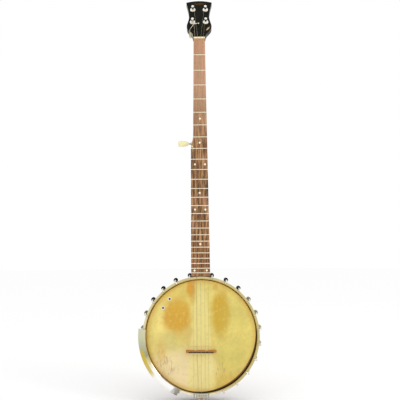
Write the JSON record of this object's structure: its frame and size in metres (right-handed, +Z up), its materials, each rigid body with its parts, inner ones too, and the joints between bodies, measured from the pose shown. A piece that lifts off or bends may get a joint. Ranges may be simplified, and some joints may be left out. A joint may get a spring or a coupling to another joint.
{
  "type": "banjo",
  "caption": "Long-neck five-string open-back banjo: round wooden rim with a skin head under a tension hoop, hooks and shoes, fretted neck and geared tuning pegs.",
  "frame": {"origin": "the middle of the nut's fingerboard edge, on the fingerboard surface, where the hanging instrument is held under its peghead", "axes": "+Z up along the instrument from the pot to the peghead, +Y to the back along the pot's axis, +X to the right seen from the front"},
  "size_m": [0.3134, 0.1223, 1.0692],
  "materials": {
    "maple": "satin",
    "dark_board": "satin",
    "black_veneer": "gloss",
    "ebony": "satin",
    "bone": "satin",
    "pearl": "gloss",
    "cream_button": "gloss",
    "black_button": "gloss",
    "nickel": "polished",
    "steel": "satin",
    "blackened": "gloss",
    "brass": "satin",
    "skin": "matte"
  },
  "bodies": {
    "instrument": {"neck": "maple", "peghead_overlay": "black_veneer", "fretboard": "dark_board", "frets": "nickel", "fret_markers": "pearl", "nut": "bone", "fifth_string_nut": "bone", "rim": "maple", "tone_ring": "brass", "head": "skin", "flesh_hoop": "brass", "tension_hoop": "nickel", "bracket_shoes": "blackened", "shoe_bolts": "steel", "tension_hooks": "nickel", "hook_nuts": "blackened", "coordinator_rods": "steel", "coordinator_rod_nuts": "steel", "neck_lag_bolts": "steel", "tailpiece": "nickel", "tailpiece_bolt": "steel", "tailpiece_nut": "steel", "armrest": "nickel", "armrest_clamps": "nickel", "armrest_screws": "steel", "bridge_feet": "maple", "bridge_saddle": "ebony", "head_studs": "steel", "string_1": "steel", "string_2": "steel", "string_3": "steel", "string_4": "steel", "string_5": "steel", "tuner_housings": "nickel", "tuner_bushings": "nickel", "fifth_peg_bushing": "nickel"},
    "fifth_peg": {"fifth_peg_shaft": "nickel", "fifth_peg_button": "cream_button"},
    "tuner_1_input": {"tuner_1_button": "cream_button", "tuner_1_shaft": "steel"},
    "tuner_1_output": {"tuner_1_post": "nickel", "tuner_1_planets": "brass"},
    "tuner_2_input": {"tuner_2_button": "cream_button", "tuner_2_shaft": "steel"},
    "tuner_2_output": {"tuner_2_post": "nickel", "tuner_2_planets": "brass"},
    "tuner_3_input": {"tuner_3_button": "cream_button", "tuner_3_shaft": "steel"},
    "tuner_3_output": {"tuner_3_post": "nickel", "tuner_3_planets": "brass"},
    "tuner_4_input": {"tuner_4_button": "cream_button", "tuner_4_shaft": "steel"},
    "tuner_4_output": {"tuner_4_post": "nickel", "tuner_4_planets": "brass"}
  },
  "joints": [
    {"name": "fifth_peg_turn", "type": "hinge", "parent": "instrument", "child": "fifth_peg", "pos_m": [0, -0.00356, -0.28771], "axis": [-1, 0, 0], "continuous": true},
    {"name": "tuner_1_button_turn", "type": "hinge", "parent": "instrument", "child": "tuner_1_input", "pos_m": [0.018, 0.01902, 0.05334], "axis": [0, 0.9511, -0.309], "continuous": true},
    {"name": "tuner_1_post_turn", "type": "hinge", "parent": "instrument", "child": "tuner_1_output", "pos_m": [0.018, 0.01902, 0.05334], "axis": [0, 0.9511, -0.309], "continuous": true},
    {"name": "tuner_2_button_turn", "type": "hinge", "parent": "instrument", "child": "tuner_2_input", "pos_m": [0.0173, 0.03231, 0.09424], "axis": [0, 0.9511, -0.309], "continuous": true},
    {"name": "tuner_2_post_turn", "type": "hinge", "parent": "instrument", "child": "tuner_2_output", "pos_m": [0.0173, 0.03231, 0.09424], "axis": [0, 0.9511, -0.309], "continuous": true},
    {"name": "tuner_3_button_turn", "type": "hinge", "parent": "instrument", "child": "tuner_3_input", "pos_m": [-0.0173, 0.03231, 0.09424], "axis": [0, 0.9511, -0.309], "continuous": true},
    {"name": "tuner_3_post_turn", "type": "hinge", "parent": "instrument", "child": "tuner_3_output", "pos_m": [-0.0173, 0.03231, 0.09424], "axis": [0, 0.9511, -0.309], "continuous": true},
    {"name": "tuner_4_button_turn", "type": "hinge", "parent": "instrument", "child": "tuner_4_input", "pos_m": [-0.018, 0.01902, 0.05334], "axis": [0, 0.9511, -0.309], "continuous": true},
    {"name": "tuner_4_post_turn", "type": "hinge", "parent": "instrument", "child": "tuner_4_output", "pos_m": [-0.018, 0.01902, 0.05334], "axis": [0, 0.9511, -0.309], "continuous": true}
  ],
  "couplings": [
    {"joint": "tuner_1_post_turn", "follows": "tuner_1_button_turn", "ratio": 0.25},
    {"joint": "tuner_2_post_turn", "follows": "tuner_2_button_turn", "ratio": 0.25},
    {"joint": "tuner_3_post_turn", "follows": "tuner_3_button_turn", "ratio": 0.25},
    {"joint": "tuner_4_post_turn", "follows": "tuner_4_button_turn", "ratio": 0.25}
  ]
}
